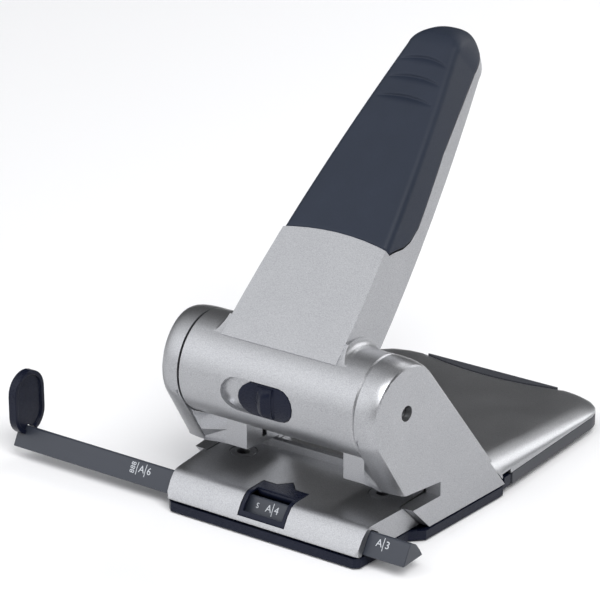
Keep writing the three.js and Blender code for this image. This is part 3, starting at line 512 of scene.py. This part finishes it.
bar = Finish("extruded_bar_plastic", Metallic=0.0, Specular_IOR_Level=0.5)
bar_lines = bar.noise(1800.0, 2.0, 0.6, (0.02, 1.0, 1.0))
bar_cloud = bar.noise(45.0, 3.0)
bar.feed(
    Base_Color=bar.blend(bar_cloud, (0.018, 0.022, 0.032, 1.0), (0.027, 0.032, 0.045, 1.0)),
    Roughness=bar_cloud * 0.08 + bar_lines * 0.12 + 0.32,
    Normal=bar.bump(bar_lines, 0.00002, 0.4),
)
dress(softened("guide_bar", 0.0006, 3), bar, "guide")

# ---------- format marks ----------
# Plain white format marks and their divider lines, pad-printed in a thin layer of ink on the bar's
# front slope.

ink = Finish("white_print_ink", Metallic=0.0, Specular_IOR_Level=0.4)
ink_speck = ink.noise(4000.0, 2.0)
ink.feed(
    Base_Color=ink.blend(ink_speck, (0.40, 0.42, 0.45, 1.0), (0.52, 0.54, 0.57, 1.0)),
    Roughness=ink_speck * 0.2 + 0.45,
)
# The slope's foot, its bend and its top: place across the bar, height, way up the flats, and the
# direction out of them.
slope_y = [bar_low[1] + back for back in (0.0018, 0.0035, 0.0056)]
slope_z = [bar_low[2] + up for up in (0.0032, 0.0065, 0.0095)]
slope_up = [0.0, 0.003712, 0.007374]
slope_out_y = [-0.873, -0.873, -0.819]
slope_out_z = [0.488, 0.488, 0.573]
ink_layer = 0.00004
mark_tall = 0.0050
line_tall = 0.0062
line_wide = 0.00035


def on_slope(mesh, across, up, turn):
    """Lays a flat mesh on the bar's two front flats: turned in its plane, then its x runs along the
    bar and its y up the flats, whose bend it follows, and it stands out by a layer of ink."""
    mesh.transform(Matrix.Translation((across, up, 0)) @ Matrix.Rotation(turn, 4, "Z"))
    flat = bmesh.new()
    flat.from_mesh(mesh)
    everything = flat.verts[:] + flat.edges[:] + flat.faces[:]
    bmesh.ops.bisect_plane(flat, geom=everything, plane_co=(0, slope_up[1], 0), plane_no=(0, 1, 0))
    flat.to_mesh(mesh)
    flat.free()
    spots = np.empty(len(mesh.vertices) * 3)
    mesh.vertices.foreach_get("co", spots)
    x, height, out = spots.reshape(-1, 3).T
    out = out + ink_layer * 1.5
    y = np.interp(height, slope_up, slope_y) + out * np.interp(height, slope_up, slope_out_y)
    z = np.interp(height, slope_up, slope_z) + out * np.interp(height, slope_up, slope_out_z)
    mesh.vertices.foreach_set("co", np.stack([x, y, z], 1).ravel())
    mesh.update()


def lay_ink(name, mesh, across, up, turn=0.0):
    """Makes a flat mesh one printed piece of the bar."""
    on_slope(mesh, across, up, turn)
    mesh.name = name
    dress(placed(name, mesh), ink, "guide")


def print_mark(name, word, across, up, turn=0.0, tall=mark_tall):
    """One word of the print, as an extruded outline laid on the slope."""
    letters = bpy.data.curves.new(name, "FONT")
    letters.body = word
    letters.size = tall
    letters.align_x = "CENTER"
    letters.align_y = "CENTER"
    letters.extrude = ink_layer
    letters.resolution_u = 3
    drawn = placed(f"{name}_outline", letters)
    mesh = bpy.data.meshes.new_from_object(drawn.evaluated_get(bpy.context.evaluated_depsgraph_get()))
    bpy.data.objects.remove(drawn)
    lay_ink(name, mesh, across, up, turn)


def print_line(name, across, up):
    """A divider line: a thin box of ink."""
    half = np.array([line_wide / 2, line_tall / 2, ink_layer])
    corners = [half * (x, y, z) for z in (-1, 1) for y in (-1, 1) for x in (-1, 1)]
    faces = [(0, 2, 3, 1), (4, 5, 7, 6), (0, 1, 5, 4), (2, 6, 7, 3), (0, 4, 6, 2), (1, 3, 7, 5)]
    mesh = bpy.data.meshes.new(name)
    mesh.from_pydata(corners, [], faces)
    lay_ink(name, mesh, across, up)


middle_up = slope_up[2] * 0.5
upright = math.radians(90.0)
letter_gap = 0.0022              # from a divider line to the middle of the letter on each side
print_mark("mark_888", "888", -0.0798, middle_up, upright, tall=0.0038)
print_line("line_888", -0.0775, middle_up)
for label, place in (("6", -0.0725), ("4", 0.0020), ("3", 0.0635)):
    print_mark(f"mark_a{label}_letter", "A", place - letter_gap, middle_up)
    print_line(f"line_a{label}", place, middle_up)
    print_mark(f"mark_a{label}_number", label, place + letter_gap, middle_up)
print_mark("mark_s", "S", -0.0065, middle_up, tall=0.0036)

# ---------- chip flap ----------
# A matt grey moulded plastic door under the deck. It turns on a steel rod at one edge, and lets the
# paper chips out.

flap = Finish("matt_flap_plastic", Metallic=0.0, Specular_IOR_Level=0.4)
flap_cloud = flap.noise(50.0, 3.0)
flap_grain = flap.noise(2600.0, 2.0)
flap.feed(
    Base_Color=flap.blend(flap_cloud, (0.032, 0.034, 0.042, 1.0), (0.046, 0.049, 0.058, 1.0)),
    Roughness=flap_grain * 0.15 + 0.42,
    Normal=flap.bump(flap_grain, 0.00003, 0.5),
)
dress(softened("chip_flap", 0.0005, 2), flap, "flap")

# ---------- steel parts ----------
# Axle, cams, punches, pins, hinge rod and detent spring are turned or drawn steel, left bright; the
# axle is coloured near black, painted shade for the dark hole its end sits in. The die bushes are
# pressed into the table and painted over with it. The coil springs stand on the base.

steel = Finish("bright_turned_steel", Metallic=1.0)
steel_lines = steel.noise(3000.0, 2.0, 0.6, (0.15, 1.0, 1.0))
steel_cloud = steel.noise(120.0, 3.0)
steel.feed(
    Base_Color=steel.blend(steel_cloud, (0.50, 0.50, 0.51, 1.0), (0.64, 0.64, 0.65, 1.0)),
    Roughness=steel_lines * 0.14 + 0.18,
    Normal=steel.bump(steel_lines, 0.00001, 0.4),
)

# Painted shade: the axle's steel is coloured near black for the shade in the hole at its end.
shade_dark_axle_steel = Finish("painted_shade_axle_steel", Metallic=0.9)
axle_shade_mottle = shade_dark_axle_steel.noise(260.0, 3.0)
shade_dark_axle_steel.feed(
    Base_Color=shade_dark_axle_steel.blend(axle_shade_mottle, (0.035, 0.035, 0.038, 1.0), (0.085, 0.085, 0.088, 1.0)),
    Roughness=axle_shade_mottle * 0.2 + 0.25,
)
dress(softened("axle", 0.0003, 2), shade_dark_axle_steel, "base")
for part in ("right_die", "left_die"):
    dress(softened(part, 0.0003, 2), silver, "base")
dress(softened("bar_detent_spring", 0.0), steel, "base")
dress(softened("flap_hinge_rod", 0.0003, 2), steel, "base")
for part in ("right_drive_cam", "left_drive_cam"):
    dress(softened(part, 0.0003, 2), steel, "lever")
for side in ("right", "left"):
    for part in ("punch", "punch_pin"):
        dress(softened(f"{side}_{part}", 0.0003, 2), steel, f"{side}_punch_body")
    spring = dress(softened(f"{side}_return_spring", 0.0), steel, "base")
    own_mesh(spring)

# ---------- screws ----------
# Zinc-plated steel screws, driven from below: four into the side plates, two through the tray and
# two through the arm into the grip pad.

zinc = Finish("plated_screw_steel", Metallic=1.0)
zinc_cloud = zinc.noise(400.0, 3.0)
zinc.feed(
    Base_Color=zinc.blend(zinc_cloud, (0.52, 0.53, 0.52, 1.0), (0.66, 0.67, 0.66, 1.0)),
    Roughness=zinc_cloud * 0.15 + 0.25,
    Normal=zinc.bump(zinc_cloud, 0.00002, 0.3),
)
for number in range(1, 5):
    dress(softened(f"cheek_screw_{number}", 0.0002, 2), zinc, "base")
for number in range(1, 3):
    dress(softened(f"tray_screw_{number}", 0.0002, 2), zinc, "base")
    dress(softened(f"grip_screw_{number}", 0.0002, 2), zinc, "lever")

# ---------- rubber mat ----------
# A moulded rubber sheet glued under the tray, with fine ribs that keep it from sliding.

mat = Finish("ribbed_foot_rubber", Metallic=0.0, Specular_IOR_Level=0.3)
mat_cloud = mat.noise(70.0, 3.0)
mat_ribs = mat.node("ShaderNodeTexWave", {"bands_direction": "X"}, pick=1, Vector=mat.place, Scale=95.0)
mat.feed(
    Base_Color=mat.blend(mat_cloud, (0.075, 0.077, 0.080, 1.0), (0.105, 0.107, 0.110, 1.0)),
    Roughness=mat_cloud * 0.12 + 0.78,
    Normal=mat.bump(mat_ribs, 0.0004, 0.8),
)
dress(softened("rubber_mat", 0.0004, 2), mat, "base")
